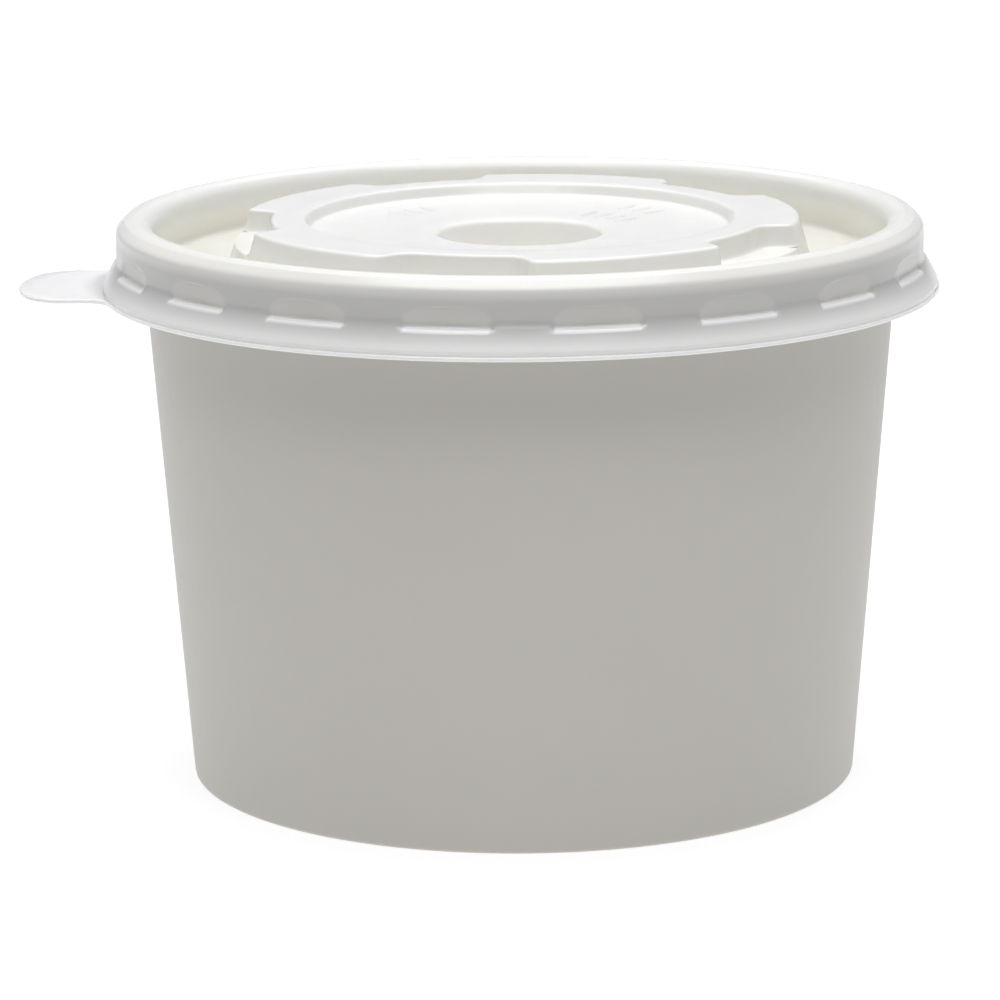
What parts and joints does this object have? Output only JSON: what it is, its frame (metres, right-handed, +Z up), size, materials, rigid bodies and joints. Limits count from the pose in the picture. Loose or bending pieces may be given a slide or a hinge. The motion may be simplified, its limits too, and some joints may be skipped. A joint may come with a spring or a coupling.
{
  "type": "takeaway soup container",
  "caption": "Stubby round paper cup with a rolled rim, shut by a thin white press-fit lid with a flared skirt, a pull tab, a sunken channel and a raised lobed ring.",
  "frame": {"origin": "on the surface that the cup stands on, in the middle of the footprint of the whole object, pull tab included; the cup's axis stands at x = +5.1 mm", "axes": "+Z up along the cup's axis; the pull tab points along -X; the side that faces -Y is the front of the picture"},
  "size_m": [0.1136, 0.1034, 0.0702],
  "materials": {
    "cup_board": "smooth coated board, satin to matt",
    "lid_plastic": "thin moulded plastic, milky white and slightly see-through, soft gloss"
  },
  "bodies": {
    "root": {"cup": "cup_board", "lid": "lid_plastic"}
  },
  "joints": []
}
